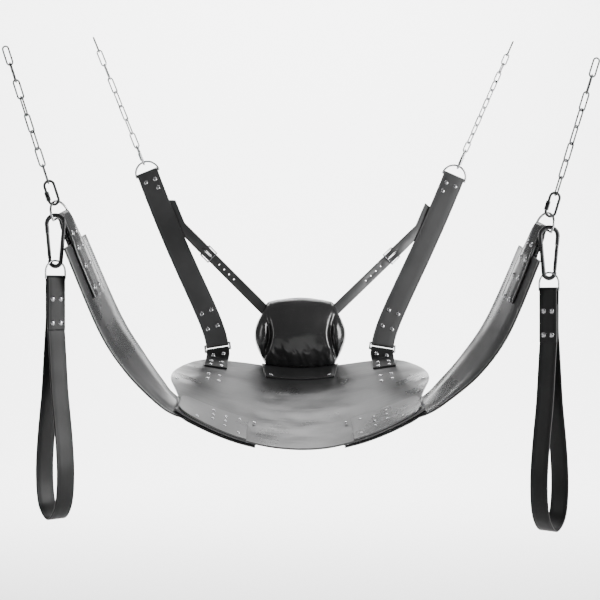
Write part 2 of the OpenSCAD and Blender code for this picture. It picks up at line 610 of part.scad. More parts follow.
module headrest_billet(side) {
    far = norm(pillow_corner(side) - buckle_bar(side));
    up = buckle_off + head_t + 0.4;
    path = concat([head_local(side, -52, up), head_local(side, -30, up), head_local(side, -10, up),
        head_local(side, 0, up), head_local(side, 8, up * 0.55), head_local(side, 17, -buckle_off * 0.65),
        head_local(side, 24, -buckle_off), head_local(side, 32, -buckle_off), head_local(side, 60, -buckle_off * 0.6)],
        [for (f = [0.55, 0.75, 0.9, 1.0]) head_local(side, far * f, 0)]);
    color(leather) difference() {
        ribbon(path, [for (p = path) head_across(side)], [for (i = [0 : len(path) - 1]) i == 0 ? head_strap_w * 0.6
            : head_strap_w - 1.5], head_t);
        placed(buckle_bar(side), head_across(side), head_dir(side)) {
            translate([-1.6, -14, -4]) cube([3.2, 28, 24]);
            for (k = [1 : 4]) translate([0, 20, buckle_len + 6 + k * 17]) rotate([90, 0, 0]) cylinder(r = 1.7, h = 40, $fn = 16);
        }
    }
}
module buckle_frame(side) {
    half = head_strap_w / 2 + buckle_wire / 2 + 0.6;
    color(nickel) placed(buckle_bar(side), head_across(side), head_dir(side)) {
        for (z = [0, buckle_len]) rod([-half, 0, z], [half, 0, z], buckle_wire / 2);
        for (x = [-1, 1]) rod([x * half, 0, 0], [x * half, 0, buckle_len], buckle_wire / 2);
        for (x = [-1, 1], z = [0, buckle_len]) translate([x * half, 0, z]) sphere(r = buckle_wire / 2, $fn = 24);
    }
}
prong_r = 1.1;
// The prong turns on the upper bar, and its tip rests on the lower one
module buckle_prong(side) {
    eye = buckle_wire / 2 + gap;
    rise = buckle_wire / 2 + gap + prong_r;
    color(nickel) placed(buckle_bar(side), head_across(side), head_dir(side)) {
        difference() {
            rotate([0, 90, 0]) cylinder(r = eye + prong_r, h = 2.6, center = true, $fn = 32);
            rotate([0, 90, 0]) cylinder(r = eye, h = 5, center = true, $fn = 32);
        }
        rod([0, rise, 1.2], [0, rise, buckle_len + 2], prong_r);
    }
}

// ---- Carabiners on the near ends of the front rings ----
carabiner_r = carabiner_wire / 2;
hook_inset = ring_r + carabiner_r + 1.2;
// The bar slopes, so the carabiner stands a little clear of it
hook_play = 1;
function hook_bar(c) = ring_bar(c) - ring_x(c) * (ring_half - hook_inset);
function carabiner_top(c) = hook_bar(c) + [0, 0, ring_r + carabiner_r + hook_play];
function carabiner_foot(c) = carabiner_top(c) - [0, 0, carabiner_len];
bow_span = carabiner_len - carabiner_top_r - carabiner_low_r;
leg_out = [sqrt(1 - pow((carabiner_top_r - carabiner_low_r) / bow_span, 2)), 0,
    -(carabiner_top_r - carabiner_low_r) / bow_span];
leg_turn = asin(-leg_out[2]);
bow_top = [0, 0, -carabiner_top_r];
bow_low = [0, 0, carabiner_low_r - carabiner_len];
leg_top = bow_top + leg_out * carabiner_top_r;
leg_low = bow_low + leg_out * carabiner_low_r;
leg_dir = unit(leg_top - leg_low);
// The straight legs are a little thinner than the bows, and run into them
leg_r = carabiner_r - 0.15;
gate_r = 3.4;
pivot_up = 6;
pin_r = 1.1;
gate_pivot = leg_low + leg_dir * pivot_up;
gate_tip = gate_pivot + leg_dir * gate_len;
// Children are placed at the carabiner's top, with the gate's leg on the outer side
module on_hook(c) { translate(carabiner_top(c)) mirror([side_of(c) == left ? 1 : 0, 0, 0]) children(); }
module carabiner(c) {
    color(steel) on_hook(c) difference() {
        union() {
            translate(bow_top) bow(carabiner_top_r, carabiner_r, -leg_turn, 180 + leg_turn);
            translate(bow_low) bow(carabiner_low_r, carabiner_r, 180 + leg_turn, 360 - leg_turn);
            rod(mirrored(leg_top + leg_dir, -1), mirrored(leg_low - leg_dir, -1), leg_r);
            rod(gate_tip + leg_dir * gap, leg_top + leg_dir, leg_r);
            rod(leg_low - leg_dir, gate_pivot - leg_dir * (gate_r + gap), leg_r);
            // Tongue that the gate's fork turns on
            intersection() {
                rod(leg_low, gate_pivot + leg_dir * 2.4, 2.6);
                translate(gate_pivot) cube([12, 2.6, 14], center = true);
            }
        }
        translate(gate_pivot) rotate([90, 0, 0]) cylinder(r = pin_r + gap, h = 20, center = true, $fn = 24);
    }
}
module carabiner_gate(c) {
    color(steel) on_hook(c) {
        difference() {
            union() {
                rod(gate_pivot, gate_tip, gate_r);
                translate(gate_pivot) sphere(r = gate_r, $fn = 24);
            }
            placed(gate_pivot, leg_out, leg_dir) translate([-6, -1.3 - gap, -6]) cube([12, 2.6 + 2 * gap, 10]);
        }
        translate(gate_pivot) rotate([90, 0, 0]) cylinder(r = pin_r, h = 2 * gate_r - 1, center = true, $fn = 24);
    }
}

// ---- Stirrups: a ring in each carabiner and a long loop of strap ----
stirrup_turn = 40;
stirrup_half = stirrup_w / 2 + stirrup_wire / 2 + 0.6;
stirrup_leg = 12;
wire_lift = 10.4;
function tread_way(side) = [cos(stirrup_turn), -side * sin(stirrup_turn), 0];
function stirrup_bar(c) = carabiner_foot(c) + [0, 0, wire_lift - stirrup_half - stirrup_leg];
module on_stirrup(c) { placed(stirrup_bar(c), tread_way(side_of(c)), [0, 0, 1]) children(); }
module stirrup_ring(c) { color(nickel) on_stirrup(c) bar_ring(stirrup_half, stirrup_leg, stirrup_wire); }
// The strap in its own plane: distance below the bar, and distance in front of it
loop_h = stirrup_wire / 2 + gap + strap_t / 2;
function loop_side(sign) = [for (p = [[0.24, 0.10], [0.34, 0.24], [0.48, 0.44], [0.63, 0.78], [0.78, 1],
    [0.90, 0.92], [0.967, 0.58]]) [p[0] * stirrup_h, sign * (p[1] * (stirrup_gap / 2 - loop_h) + (sign < 0 ? loop_h : 0.4))]];
stirrup_path = concat([[96, loop_h], [60, loop_h], [30, loop_h], [8, loop_h]],
    [for (a = [0 : 22.5 : 180]) [-sin(a) * loop_h, cos(a) * loop_h]],
    [[8, -loop_h], [40, -loop_h], [75, -loop_h]], smooth(concat(loop_side(-1), [[stirrup_h, 0]], back(loop_side(1))), 2),
    [[78, 0.1], [50, 0], [26, 0]]);
module stirrup_strap(c) {
    color(leather) on_stirrup(c)
        ribbon([for (p = stirrup_path) [0, -p[1], -p[0]]], [for (p = stirrup_path) [1, 0, 0]],
            [for (p = stirrup_path) stirrup_w], strap_t);
}
module stirrup_rivets(c) {
    color(nickel) on_stirrup(c) for (z = [38, 82], x = [-8.3, 8.3])
        rivet_at([x, -loop_h - strap_t / 2, -z], [0, -1, 0], 2 * loop_h + strap_t);
}

hang_links();
chain(front_left);  // chain_front_left
chain(front_right);  // chain_front_right
chain(rear_left);  // chain_rear_left
chain(rear_right);  // chain_rear_right
quick_link(front_left);  // quick_link_front_left
quick_link(front_right);  // quick_link_front_right
quick_link(rear_left);  // quick_link_rear_left
quick_link(rear_right);  // quick_link_rear_right
link_nut(front_left);  // link_nut_front_left
link_nut(front_right);  // link_nut_front_right
link_nut(rear_left);  // link_nut_rear_left
link_nut(rear_right);  // link_nut_rear_right
large_ring(front_left);  // front_ring_left
large_ring(front_right);  // front_ring_right
large_ring(rear_left);  // rear_ring_left
large_ring(rear_right);  // rear_ring_right
seat_panel();
arm_strap(left);  // arm_strap_left
arm_strap(right);  // arm_strap_right
arm_tab(front_left);  // arm_tab_left
arm_tab(front_right);  // arm_tab_right
arm_tab_rivets();
front_patch(left);  // front_patch_left
front_patch(right);  // front_patch_right
seat_front_rivets();
seat_studs();
rear_strap(left);  // rear_strap_left
rear_strap(right);  // rear_strap_right
rear_strap_rivets();
loop_ring(left);  // loop_ring_left
loop_ring(right);  // loop_ring_right
seat_tab(left);  // seat_tab_left
seat_tab(right);  // seat_tab_right
seat_tab_rivets();
headrest_pillow();
headrest_flap();
headrest_rivets();
headrest_strap(left);  // headrest_strap_left
headrest_strap(right);  // headrest_strap_right
headrest_billet(left);  // headrest_billet_left
headrest_billet(right);  // headrest_billet_right
buckle_frame(left);  // buckle_frame_left
buckle_frame(right);  // buckle_frame_right
buckle_prong(left);  // buckle_prong_left
buckle_prong(right);  // buckle_prong_right
carabiner(front_left);  // carabiner_left
carabiner(front_right);  // carabiner_right
carabiner_gate(front_left);  // carabiner_gate_left
carabiner_gate(front_right);  // carabiner_gate_right
stirrup_ring(front_left);  // stirrup_ring_left
stirrup_ring(front_right);  // stirrup_ring_right
stirrup_strap(front_left);  // stirrup_strap_left
stirrup_strap(front_right);  // stirrup_strap_right
stirrup_rivets(front_left);  // stirrup_rivets_left
stirrup_rivets(front_right);  // stirrup_rivets_right
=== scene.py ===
# %% [markdown]
# # A hanging sling seat in leather, chain and wire
#
# This lesson dresses a finished CAD model. The model comes in as a frame of separate parts, already at
# their real size and place, and every soft part is rebuilt here with rounded edges, creases, stitches and
# a grain. The rivets are drawn again, and the other metal parts keep their CAD shape and get their
# plating. Each new piece takes its place and size from the part that it stands for.

# %% Load the frame
import itertools
import json
import math
import bmesh
import bpy
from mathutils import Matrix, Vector, noise


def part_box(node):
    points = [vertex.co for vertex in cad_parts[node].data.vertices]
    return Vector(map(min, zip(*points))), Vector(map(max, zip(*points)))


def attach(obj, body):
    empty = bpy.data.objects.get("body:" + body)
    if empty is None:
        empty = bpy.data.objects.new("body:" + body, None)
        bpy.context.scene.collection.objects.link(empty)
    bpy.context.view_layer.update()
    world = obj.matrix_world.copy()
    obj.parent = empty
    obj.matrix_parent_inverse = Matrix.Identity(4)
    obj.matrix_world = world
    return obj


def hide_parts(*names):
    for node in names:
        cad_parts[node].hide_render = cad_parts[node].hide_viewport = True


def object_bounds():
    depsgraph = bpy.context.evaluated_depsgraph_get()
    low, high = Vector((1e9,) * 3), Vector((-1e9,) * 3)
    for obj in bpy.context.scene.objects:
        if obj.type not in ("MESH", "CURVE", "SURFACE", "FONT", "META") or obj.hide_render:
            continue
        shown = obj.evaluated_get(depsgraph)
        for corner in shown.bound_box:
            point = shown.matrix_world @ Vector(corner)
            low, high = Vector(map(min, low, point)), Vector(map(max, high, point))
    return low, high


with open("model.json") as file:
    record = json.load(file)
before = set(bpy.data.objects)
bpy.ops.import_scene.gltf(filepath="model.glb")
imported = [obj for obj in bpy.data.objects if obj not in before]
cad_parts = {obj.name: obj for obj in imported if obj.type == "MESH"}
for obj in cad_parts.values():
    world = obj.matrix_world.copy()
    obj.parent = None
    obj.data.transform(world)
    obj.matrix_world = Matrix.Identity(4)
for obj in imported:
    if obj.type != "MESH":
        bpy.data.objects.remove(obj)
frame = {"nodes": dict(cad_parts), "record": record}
MM = 0.001
cad_box = [list(corner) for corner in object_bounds()]
print("CAD box", cad_box)

# %% [markdown]
# ## Camera, floor and light
#
# A long lens from about 2.8 m keeps the near and far chains close in size. The floor is one pale sheet
# that curves up behind the seat, so no horizon line shows from the front. Black leather shows its shape
# only by what it mirrors, so the lights are big soft panels: one overhead, one from the right for the
# left arm, a dim one from the left, and one that washes the backdrop.


# %% Helpers that put things in the scene
def in_scene(name, data):
    """A new object at the origin, with its place in its data."""
    made = bpy.data.objects.new(name, data)
    bpy.context.scene.collection.objects.link(made)
    return made


def evaluated_mesh(source):
    """The plain mesh that an object's modifiers make."""
    return bpy.data.meshes.new_from_object(source.evaluated_get(bpy.context.evaluated_depsgraph_get()))


def shade_smooth(mesh):
    mesh.polygons.foreach_set("use_smooth", [True] * len(mesh.polygons))


def new_piece(name, points, faces):
    mesh = bpy.data.meshes.new(name)
    mesh.from_pydata([tuple(p) for p in points], [], faces)
    mesh.validate()
    shade_smooth(mesh)
    return in_scene(name, mesh)


def node(tree, kind, **settings):
    """A shader or geometry node; inputs are given by name with underscores for spaces."""
    made = tree.nodes.new(kind)
    for key, value in settings.items():
        socket = made.inputs.get(key.replace("_", " "))
        if socket is None:
            setattr(made, key, value)
        elif hasattr(value, "is_output"):
            tree.links.new(value, socket)
        else:
            socket.default_value = value
    return made


# %% Camera
camera = in_scene("camera", bpy.data.cameras.new("camera"))
camera.location = (0.0, -2.810, -0.540)
camera.rotation_euler = (math.radians(90), 0, 0)
camera.data.sensor_width = 36.0
camera.data.lens = 81.06
camera.data.clip_end = 60
bpy.context.scene.camera = camera
print("camera", tuple(camera.location), "lens", camera.data.lens)

# %% Floor and backdrop in one sweep
FLOOR_DROP = 0.42
FLOOR_FRONT, FLOOR_BACK, HALF_WIDTH = -7.0, 4.0, 9.0
BEND_R, WALL_TOP = 2.0, 3.3
floor_z = cad_box[0][2] - FLOOR_DROP
sweep = [(FLOOR_FRONT, 0.0), (FLOOR_BACK, 0.0)]
for k in range(1, 13):
    turned = math.radians(7.5 * k)
    sweep.append((FLOOR_BACK + BEND_R * math.sin(turned), BEND_R * (1 - math.cos(turned))))
sweep.append((FLOOR_BACK + BEND_R, WALL_TOP))
sweep_points = [(x, y, floor_z + z) for y, z in sweep for x in (-HALF_WIDTH, HALF_WIDTH)]
sweep_faces = [(2 * i, 2 * i + 1, 2 * i + 3, 2 * i + 2) for i in range(len(sweep) - 1)]
floor = new_piece("studio_sweep", sweep_points, sweep_faces)
paper = bpy.data.materials.new("backdrop_paper")
paper.use_nodes = True
paper_shader = paper.node_tree.nodes["Principled BSDF"]
paper_shader.inputs["Base Color"].default_value = (0.93, 0.93, 0.93, 1)
paper_shader.inputs["Roughness"].default_value = 0.9
paper_shader.inputs["Specular IOR Level"].default_value = 0.1
floor.data.materials.append(paper)
print("floor at", round(floor_z, 3))


# %% Softboxes and sky
def softbox(name, place, target, size, power):
    lamp = bpy.data.lights.new(name, "AREA")
    lamp.shape = "RECTANGLE"
    lamp.size, lamp.size_y = size
    lamp.energy = power
    box = in_scene(name, lamp)
    box.location = place
    aim = Vector(target) - Vector(place)
    box.rotation_euler = aim.to_track_quat("-Z", "Y").to_euler()


softbox("overhead", (0.0, 2.1, 2.4), (0.0, 2.0, 0.0), (3.4, 2.6), 105)
softbox("right_side", (2.3, -1.3, 0.1), (-0.4, -0.3, -0.6), (1.2, 2.0), 120)
softbox("left_fill", (-2.6, -1.5, 0.1), (0.4, -0.3, -0.6), (0.9, 1.6), 14)
softbox("backdrop_wash", (0, 2.4, 2.6), (0, 6.0, -0.6), (7.0, 1.5), 1300)
sky = bpy.data.worlds.new("sky")
sky.use_nodes = True
sky.node_tree.nodes["Background"].inputs["Color"].default_value = (1, 1, 1, 1)
sky.node_tree.nodes["Background"].inputs["Strength"].default_value = 0.30
bpy.context.scene.world = sky

# %% [markdown]
# ## Leather
#
# Finished leather is a dark dyed core under a thin glossy coat. Three things make it read as leather:
# a fine pebble grain in the bump, broad patches where the surface is rubbed duller, and soft creases.
# All of them read Object coordinates, so the pattern is at its real scale on every piece, whatever its
# size.


# %% The leather finish
def leather(name, tone, rough, grain=0.35, crease=0.4, stretch=(1, 1, 1), gloss=0.62):
    """tone is the dye, rough the roughness, grain and crease the bump, and gloss the coat's mirror."""
    finish = bpy.data.materials.new(name)
    finish.use_nodes = True
    tree = finish.node_tree
    shader = tree.nodes["Principled BSDF"]
    where = node(tree, "ShaderNodeTexCoord").outputs["Object"]
    pebble = node(tree, "ShaderNodeTexVoronoi", Vector=where, Scale=900.0)
    fibre = node(tree, "ShaderNodeTexNoise", Vector=where, Scale=420.0, Detail=4.0, Roughness=0.6)
    patches = node(tree, "ShaderNodeTexNoise", Vector=where, Scale=9.0, Detail=5.0, Roughness=0.55)
    pull = node(tree, "ShaderNodeMapping", Vector=where)
    pull.inputs["Scale"].default_value = stretch
    creases = node(tree, "ShaderNodeTexNoise", Vector=pull.outputs[0], Scale=34.0, Detail=2.5,
                   Roughness=0.48, Distortion=0.4)
    shade = node(tree, "ShaderNodeMapRange", Value=patches.outputs["Fac"])
    shade.inputs["From Min"].default_value = 0.35
    shade.inputs["From Max"].default_value = 0.7
    ramp = node(tree, "ShaderNodeMix", data_type="RGBA")
    tree.links.new(shade.outputs["Result"], ramp.inputs["Factor"])
    ramp.inputs["A"].default_value = (tone * 0.75, tone * 0.76, tone * 0.78, 1)
    ramp.inputs["B"].default_value = (tone * 1.35, tone * 1.35, tone * 1.38, 1)
    tree.links.new(ramp.outputs["Result"], shader.inputs["Base Color"])
    worn = node(tree, "ShaderNodeMapRange", Value=patches.outputs["Fac"])
    worn.inputs["From Min"].default_value = 0.3
    worn.inputs["From Max"].default_value = 0.75
    worn.inputs["To Min"].default_value = rough * 0.8
    worn.inputs["To Max"].default_value = rough * 1.45
    tree.links.new(worn.outputs["Result"], shader.inputs["Roughness"])
    fine = node(tree, "ShaderNodeBump", Strength=grain, Distance=0.03 * MM, Height=pebble.outputs["Distance"])
    felt = node(tree, "ShaderNodeBump", Strength=grain * 0.6, Distance=0.02 * MM, Height=fibre.outputs["Fac"],
                Normal=fine.outputs["Normal"])
    folds = node(tree, "ShaderNodeBump", Strength=crease, Distance=1.2 * MM, Height=creases.outputs["Fac"],
                 Normal=felt.outputs["Normal"])
    tree.links.new(folds.outputs["Normal"], shader.inputs["Normal"])
    shader.inputs["Specular IOR Level"].default_value = gloss
    shader.inputs["Coat Weight"].default_value = 0.4 * gloss
    shader.inputs["Coat Roughness"].default_value = 0.22
    return finish


seat_leather = leather("seat_leather", 0.022, 0.30, grain=0.25, crease=0.28, stretch=(0.35, 2.6, 1.0))
strap_leather = leather("strap_leather", 0.024, 0.48, grain=0.25, crease=0.14, gloss=0.55)
dull_leather = leather("dull_leather", 0.006, 0.48, grain=0.22, crease=0.14, gloss=0.20)
arm_leather = leather("arm_leather", 0.030, 0.27, grain=0.22, crease=0.24, gloss=0.85)
tab_leather = leather("tab_leather", 0.038, 0.25, grain=0.22, crease=0.14, gloss=0.9)
pillow_leather = leather("pillow_leather", 0.012, 0.20, grain=0.12, crease=0.20, gloss=0.7)
# painted shade: a near-black finish for the edge and end faces, standing in for the shade at the thick rims
painted_edge_shade = leather("painted_edge_shade", 0.006, 0.42, grain=0.45, crease=0.0, gloss=0.35)
print("leathers ready")

# %% [markdown]
# ## Plated wire
#
# The rings, the rivets and the rear chains are bright nickel. The front chains, their hooks and the links
# that they hang from are a darker plate. Metal has no colour of its own but its mirror image, so the
# work is in the roughness: fine brushed streaks and a little unevenness break the reflection up.


# %% The plating
def plating(name, tone, rough, streak):
    finish = bpy.data.materials.new(name)
    finish.use_nodes = True
    tree = finish.node_tree
    shader = tree.nodes["Principled BSDF"]
    shader.inputs["Metallic"].default_value = 1.0
    where = node(tree, "ShaderNodeTexCoord").outputs["Object"]
    cloud = node(tree, "ShaderNodeTexNoise", Vector=where, Scale=60.0, Detail=3.0, Roughness=0.6)
    scratch = node(tree, "ShaderNodeTexNoise", Vector=where, Scale=700.0, Detail=3.0, Roughness=0.7)
    tint = node(tree, "ShaderNodeMix", data_type="RGBA")
    tree.links.new(cloud.outputs["Fac"], tint.inputs["Factor"])
    tint.inputs["A"].default_value = (tone * 0.72, tone * 0.73, tone * 0.76, 1)
    tint.inputs["B"].default_value = (tone * 1.15, tone * 1.15, tone * 1.16, 1)
    tree.links.new(tint.outputs["Result"], shader.inputs["Base Color"])
    spread = node(tree, "ShaderNodeMapRange", Value=cloud.outputs["Fac"])
    spread.inputs["To Min"].default_value = rough * 0.6
    spread.inputs["To Max"].default_value = rough * 1.5
    tree.links.new(spread.outputs["Result"], shader.inputs["Roughness"])
    marks = node(tree, "ShaderNodeBump", Strength=streak, Distance=0.08 * MM, Height=scratch.outputs["Fac"])
    tree.links.new(marks.outputs["Normal"], shader.inputs["Normal"])
    return finish


dark_steel = plating("dark_steel", 0.05, 0.27, 0.35)
chain_steel = plating("chain_steel", 0.085, 0.27, 0.30)
nickel = plating("nickel", 0.42, 0.18, 0.15)
worn_nickel = plating("worn_nickel", 0.50, 0.24, 0.30)
for name, part in frame["nodes"].items():
    if name.startswith(("carabiner", "link_nut_front", "quick_link_front")):
        finish = dark_steel
    elif name.startswith(("chain_front", "hang_links")):
        finish = chain_steel
    else:
        finish = nickel
    part.data.materials.clear()
    part.data.materials.append(finish)
print("plated", len(frame["nodes"]), "parts")

# %% [markdown]
# ## Straps from their CAD bodies
#
# A strap in the CAD model is a plain strip with four corners at each step of its way. Walking along the
# strip ring by ring gives its middle line, its width and its upper side. With those, a strap of the same
# place and size can be lofted with a finer shape: rounded edges with painted shade on their rims, a
# creased line along each edge, and a smooth bend between the steps.


# %% Walk along a CAD strip
def merged(name):
    """The CAD part's mesh with its loose triangles joined up."""
    shape = bmesh.new()
    shape.from_mesh(frame["nodes"][name].data)
    bmesh.ops.remove_doubles(shape, verts=shape.verts, dist=0.004 * MM)
    return shape


def sharper_than(shape, degrees):
    return [e for e in shape.edges if len(e.link_faces) == 2 and e.calc_face_angle() > math.radians(degrees)]


def square_edge(edge):
    return len(edge.link_faces) == 2 and math.radians(50) < edge.calc_face_angle() < math.radians(130)


def end_corners(shape):
    """The four corners of a flat end: two coplanar triangles with a square edge all round."""
    for edge in shape.edges:
        if len(edge.link_faces) == 2 and edge.calc_face_angle() < math.radians(3):
            rim = [e for f in edge.link_faces for e in f.edges if e is not edge]
            if all(square_edge(e) for e in rim):
                return list({v for f in edge.link_faces for v in f.verts})
    raise ValueError("no flat end")


def strip_rings(name):
    """Rings of four corners, low side then high side, from one end of the strip to the other."""
    shape = merged(name)
    layer = end_corners(shape)
    seen, layers = set(layer), [layer]
    while layer:
        layer = list({e.other_vert(v) for v in layer for e in v.link_edges} - seen)
        seen.update(layer)
        if layer:
            layers.append(layer)
    if any(len(layer) != 4 for layer in layers):
        raise ValueError(f"{name}: a ring without four corners")
    rings = [[v.co.copy() for v in layer] for layer in layers]
    shape.free()
    first = rings[0][0]
    near, _, far = sorted(rings[0][1:], key=lambda p: (p - first).length)
    side = [p for p in rings[0] if p not in (first, near, far)][0]
    ordered = [[first, side, far, near]]
    for ring in rings[1:]:
        last = ordered[-1]
        ordered.append(list(min(itertools.permutations(ring),
                                key=lambda r: sum((a - b).length for a, b in zip(last, r)))))
    return ordered


print("arm rings", len(strip_rings("arm_strap_left")))


# %% The middle line of a strap, made smooth
def along(items, t):
    """A smooth curve through the items, counted in steps of the list."""
    n = len(items) - 1
    i = min(max(int(t), 0), n - 1)
    f = t - i
    a, b, c, d = items[max(i - 1, 0)], items[i], items[i + 1], items[min(i + 2, n)]
    return (b * 2 + (c - a) * f + (a * 2 - b * 5 + c * 4 - d) * (f * f)
            + (b * 3 - c * 3 + d - a) * (f * f * f)) * 0.5


def strap_line(rings, longest=4 * MM):
    """Steps of (middle, width direction, upper direction, width, thickness, length so far)."""
    middle = [sum(r, Vector()) / 4 for r in rings]
    across = [(r[1] + r[2] - r[0] - r[3]) / 2 for r in rings]
    upward = [(r[2] + r[3] - r[0] - r[1]) / 2 for r in rings]
    thick = sorted(u.length for u in upward)[len(upward) // 2]
    steps, run, last = [], 0.0, middle[0]
    for i in range(len(rings) - 1):
        parts = max(1, math.ceil((middle[i + 1] - middle[i]).length / longest))
        for k in range(parts + (i == len(rings) - 2)):
            t = i + k / parts
            p, w, u = along(middle, t), along(across, t), along(upward, t)
            run += (p - last).length
            last = p
            u = (u - w * (u.dot(w) / w.dot(w))).normalized()
            steps.append((p, w.normalized(), u, w.length, thick, run))
    return steps


# %% Loft a strap with rounded, creased edges
EDGE_ROUND = 0.42
# width of the band along each strap edge that gets the painted edge shade
PAINTED_SHADE_RIM = 0.2 * MM


def strap_section(width, thick, crease):
    """Points round the strap: (place across, place up)."""
    r = EDGE_ROUND * thick
    upper = []
    for k in range(5):
        a = math.radians(90 * k / 4)
        upper.append((width / 2 - r + r * math.cos(a), thick / 2 - r + r * math.sin(a)))
    for inset, depth in ((3.0, 0.0), (3.4, 0.28), (3.8, 0.0)):
        upper.append((width / 2 - inset * MM, thick / 2 - depth * crease * MM))
    upper.append((width / 6, thick / 2 + 0.02 * MM))
    upper += [(-x, y) for x, y in reversed(upper)]
    return upper + [(-x, -y) for x, y in upper]


def loft_strap(name, cad, material, crease):
    steps = strap_line(strip_rings(cad))
    points, places = [], []
    for p, w, u, width, thick, run in steps:
        for x, y in strap_section(width, thick, crease):
            points.append(p + w * x + u * y)
            places.append((x, run))
    n = len(points) // len(steps)
    faces = [(i * n + k, i * n + (k + 1) % n, (i + 1) * n + (k + 1) % n, (i + 1) * n + k)
             for i in range(len(steps) - 1) for k in range(n)]
    faces += [tuple(range(n))[::-1], tuple(range(len(points) - n, len(points)))]
    strap = new_piece(name, points, faces)
    shape = bmesh.new()
    shape.from_mesh(strap.data)
    bmesh.ops.recalc_face_normals(shape, faces=shape.faces)
    strap_uv = shape.loops.layers.uv.new("strap")
    for face in shape.faces:
        is_end = len(face.verts) > 4
        face.smooth = not is_end
        from_edge = []
        for loop in face.loops:
            at = loop.vert.index
            loop[strap_uv].uv = places[at]
            from_edge.append(steps[at // n][3] / 2 - abs(places[at][0]))
        # the ends and the faces near the edges take the second material, a painted shade for the dark rims
        face.material_index = int(is_end or min(from_edge) < PAINTED_SHADE_RIM)
    shape.to_mesh(strap.data)
    shape.free()
    strap.data.materials.append(material)
    strap.data.materials.append(painted_edge_shade)
    print(name, len(steps), "steps,", round(steps[-1][5] / MM), "mm long")
    return strap, steps


def body_of(cad):
    bodies = frame["record"]["behaviour"]["bodies"]
    return next(name for name, nodes in bodies.items() if cad in nodes)


def stands_for(piece, cad):
    """The piece rides where the CAD part does, and hides it."""
    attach(piece, body_of(cad))
    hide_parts(cad)


lines = {}
for side in ("left", "right"):
    for cad, material in (("arm_strap", arm_leather), ("arm_tab", tab_leather), ("rear_strap", strap_leather),
                          ("seat_tab", dull_leather), ("stirrup_strap", dull_leather)):
        crease = 1.0 if cad.startswith("arm") else 0.35
        piece, lines[f"{cad}_{side}"] = loft_strap(f"{cad}_{side}_leather", f"{cad}_{side}", material, crease)
        stands_for(piece, f"{cad}_{side}")

# %% [markdown]
# ## Sheets of leather
#
# The seat, the front patches and the flap are flat hides that follow a curved surface. Their CAD bodies
# have the right outline but sharp rims and flat facets. A copy is merged into clean quads, its rim is
# bevelled and it is subdivided. A low, slow noise then lets the seat ripple a little, as leather does
# between its rivets.


# %% Round and soften a hide
# faces steeper than this take the painted edge shade
RIM_SLOPE = 0.62


def soften_hide(name, cad, material, rim, ripple=0.0):
    """rim is the size of its bevel, and ripple the height of the slow waves."""
    shape = merged(cad)
    bmesh.ops.join_triangles(shape, faces=shape.faces, angle_face_threshold=math.radians(25),
                             angle_shape_threshold=math.radians(60))
    rim_edges = sharper_than(shape, 55)
    bmesh.ops.bevel(shape, geom=rim_edges, offset=rim, segments=2, profile=0.7, affect="EDGES",
                    clamp_overlap=True)
    mesh = bpy.data.meshes.new(name)
    shape.to_mesh(mesh)
    shape.free()
    raw = in_scene(name + "_raw", mesh)
    rounder = raw.modifiers.new("rounder", "SUBSURF")
    rounder.levels = rounder.render_levels = 2
    done = evaluated_mesh(raw)
    bpy.data.objects.remove(raw)
    for face in done.polygons:
        # the steep rim faces take the second material, a painted shade that darkens the thick edges
        face.material_index = int(abs(face.normal.z) < RIM_SLOPE)
    for v in done.vertices:
        wave = noise.noise(Vector((v.co.x * 7, v.co.y * 16, 3.1))) + 0.5 * noise.noise(v.co * 31)
        v.co.z += wave * ripple
    shade_smooth(done)
    done.materials.clear()
    done.materials.append(material)
    done.materials.append(painted_edge_shade)
    stands_for(in_scene(name, done), cad)
    print(name, len(done.polygons), "faces")


soften_hide("seat_hide", "seat_panel", seat_leather, 0.9 * MM, 0.9 * MM)
for side in ("left", "right"):
    soften_hide(f"front_patch_{side}_hide", f"front_patch_{side}", arm_leather, 0.8 * MM)
soften_hide("headrest_flap_hide", "headrest_flap", seat_leather, 0.8 * MM)

# %% [markdown]
# ## Headrest straps and their billets
#
# These two straps have slots and punched holes, so they are not lofted again. A merged copy gets its
# sharp rims bevelled, and shading that turns hard only at those rims.


# %% Bevel the cut straps
def bevelled(name, cad, material):
    shape = merged(cad)
    bmesh.ops.dissolve_limit(shape, angle_limit=math.radians(1), verts=shape.verts, edges=shape.edges)
    bmesh.ops.bevel(shape, geom=sharper_than(shape, 48), offset=0.5 * MM, segments=2, profile=0.6,
                    affect="EDGES", clamp_overlap=True)
    bmesh.ops.triangulate(shape, faces=[f for f in shape.faces if len(f.verts) > 4])
    for face in shape.faces:
        face.smooth = True
    mesh = bpy.data.meshes.new(name)
    shape.to_mesh(mesh)
    shape.free()
    mesh.set_sharp_from_angle(angle=math.radians(38))
    mesh.materials.clear()
    mesh.materials.append(material)
    stands_for(in_scene(name, mesh), cad)
    print(name, len(mesh.polygons), "faces")


for side in ("left", "right"):
    for cad in ("headrest_strap", "headrest_billet"):
        bevelled(f"{cad}_{side}_leather", f"{cad}_{side}", strap_leather)

# %% [markdown]
# ## The headrest pillow
#
# The pillow is a small stuffed sack: a front panel and a back panel of soft glossy leather, sewn to two
# side gussets that fold inward, and gathered along the foot where the filling ends. The CAD body gives its
# place and size. A slightly smaller copy is remeshed and blown up by the cloth solver, which gives the
# crowned faces and the pulled-in seams. The deep crease at each side and the crinkles along the foot come
# after that, because remeshing would blur them.

# %% The sack before it is filled
pillow_low, pillow_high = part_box("headrest_pillow")
pillow_low, pillow_high = Vector(pillow_low), Vector(pillow_high)
pillow_mid = (pillow_low + pillow_high) / 2
pillow_half = (pillow_high - pillow_low) / 2
UNFILLED = 0.955


def bump(x, middle, spread):
    """A smooth hill of height 1 at its middle."""
    return math.exp(-((x - middle) / spread) ** 2)


